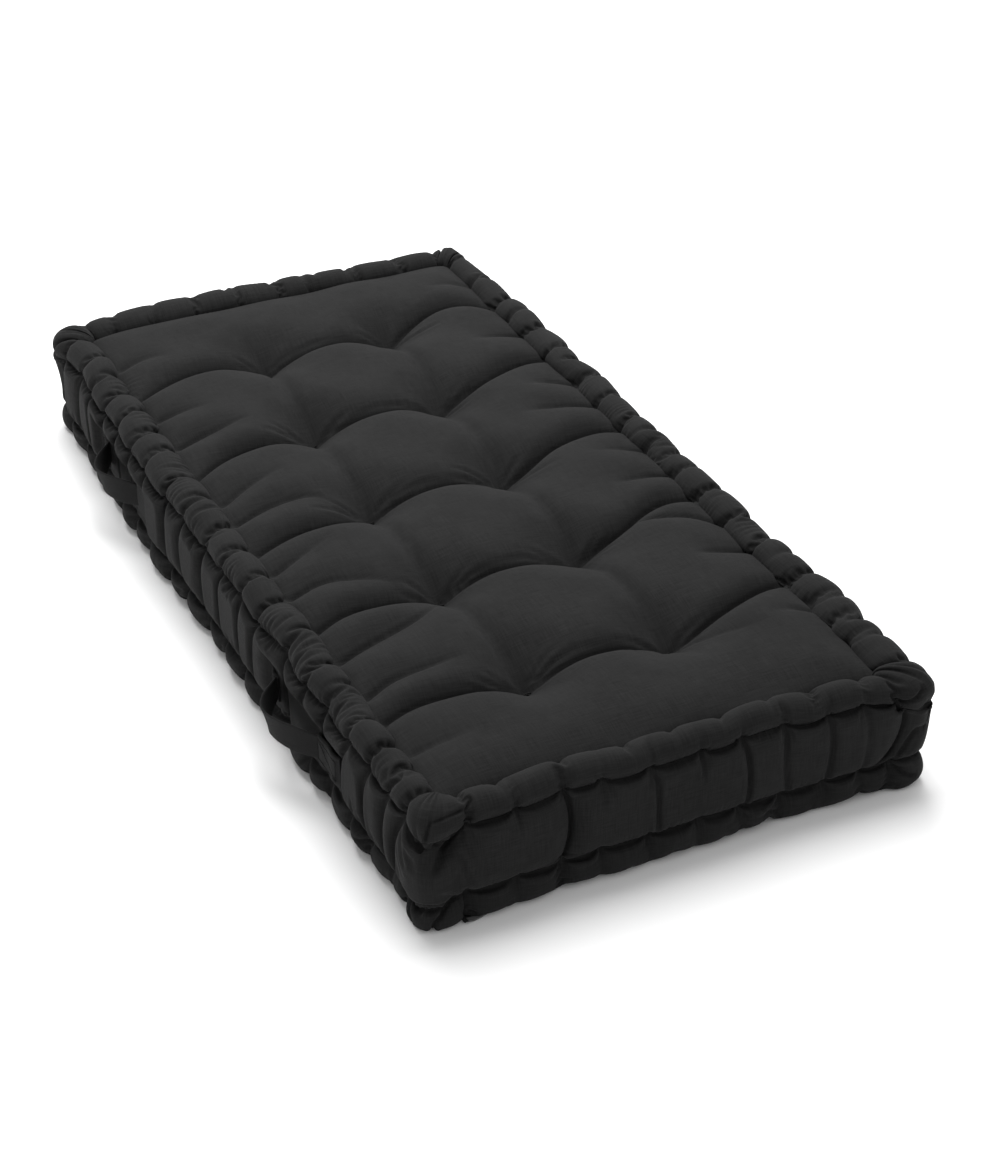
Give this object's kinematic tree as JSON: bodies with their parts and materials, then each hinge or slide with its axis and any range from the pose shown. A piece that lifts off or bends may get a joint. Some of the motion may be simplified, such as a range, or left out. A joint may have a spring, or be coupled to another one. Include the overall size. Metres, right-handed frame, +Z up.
{
  "type": "futon mattress",
  "caption": "Tufted floor mattress with hand-stitched rolled edges, a gathered border and two fabric strap handles on one long side.",
  "frame": {"origin": "middle of the underside, on the surface that the mattress lies on", "axes": "+Z up, through the thickness; +Y along the length, from the front short side to the back one; +X across the width, from the wall with the handles to the plain one"},
  "size_m": [0.6465, 1.205, 0.15],
  "materials": {
    "black_cotton": "matte",
    "handle_cotton": "matte",
    "cotton_batting": "matte",
    "tie_cord": "matte",
    "thread": "satin",
    "label_tape": "satin"
  },
  "bodies": {
    "mattress": {"top_panel": "black_cotton", "bottom_panel": "black_cotton", "border_front": "black_cotton", "border_back": "black_cotton", "border_left": "black_cotton", "border_right": "black_cotton", "bottom_roll_front": "black_cotton", "bottom_roll_back": "black_cotton", "bottom_roll_left": "black_cotton", "bottom_roll_right": "black_cotton", "bottom_roll_filling": "cotton_batting", "bottom_edge_stitches": "thread", "top_roll_front": "black_cotton", "top_roll_back": "black_cotton", "top_roll_left": "black_cotton", "top_roll_right": "black_cotton", "top_roll_filling": "cotton_batting", "top_edge_stitches": "thread", "cotton_batt_1": "cotton_batting", "cotton_batt_2": "cotton_batting", "cotton_batt_3": "cotton_batting", "cotton_batt_4": "cotton_batting", "cotton_batt_5": "cotton_batting", "tuft_tie_left_1": "tie_cord", "tuft_tie_left_2": "tie_cord", "tuft_tie_left_3": "tie_cord", "tuft_tie_left_4": "tie_cord", "tuft_tie_left_5": "tie_cord", "tuft_tie_right_1": "tie_cord", "tuft_tie_right_2": "tie_cord", "tuft_tie_right_3": "tie_cord", "tuft_tie_right_4": "tie_cord", "tuft_tie_right_5": "tie_cord", "handle_front_sewn_ends": "handle_cotton", "handle_front_topstitching": "thread", "handle_rear_sewn_ends": "handle_cotton", "handle_rear_topstitching": "thread"},
    "front_handle": {"handle_front_strap": "handle_cotton"},
    "rear_handle": {"handle_rear_strap": "handle_cotton"},
    "label_flap": {"label": "label_tape"}
  },
  "joints": [
    {"name": "front_handle_swing", "type": "hinge", "parent": "mattress", "child": "front_handle", "pos_m": [-0.3, -0.3, 0.072], "axis": [0, 1, 0], "range_deg": [-40, 64]},
    {"name": "rear_handle_swing", "type": "hinge", "parent": "mattress", "child": "rear_handle", "pos_m": [-0.3, 0.3, 0.072], "axis": [0, 1, 0], "range_deg": [-40, 64]},
    {"name": "label_lift", "type": "hinge", "parent": "mattress", "child": "label_flap", "pos_m": [-0.233, -0.589, 0.0007], "axis": [-1, 0, 0], "range_deg": [0, 35]}
  ]
}
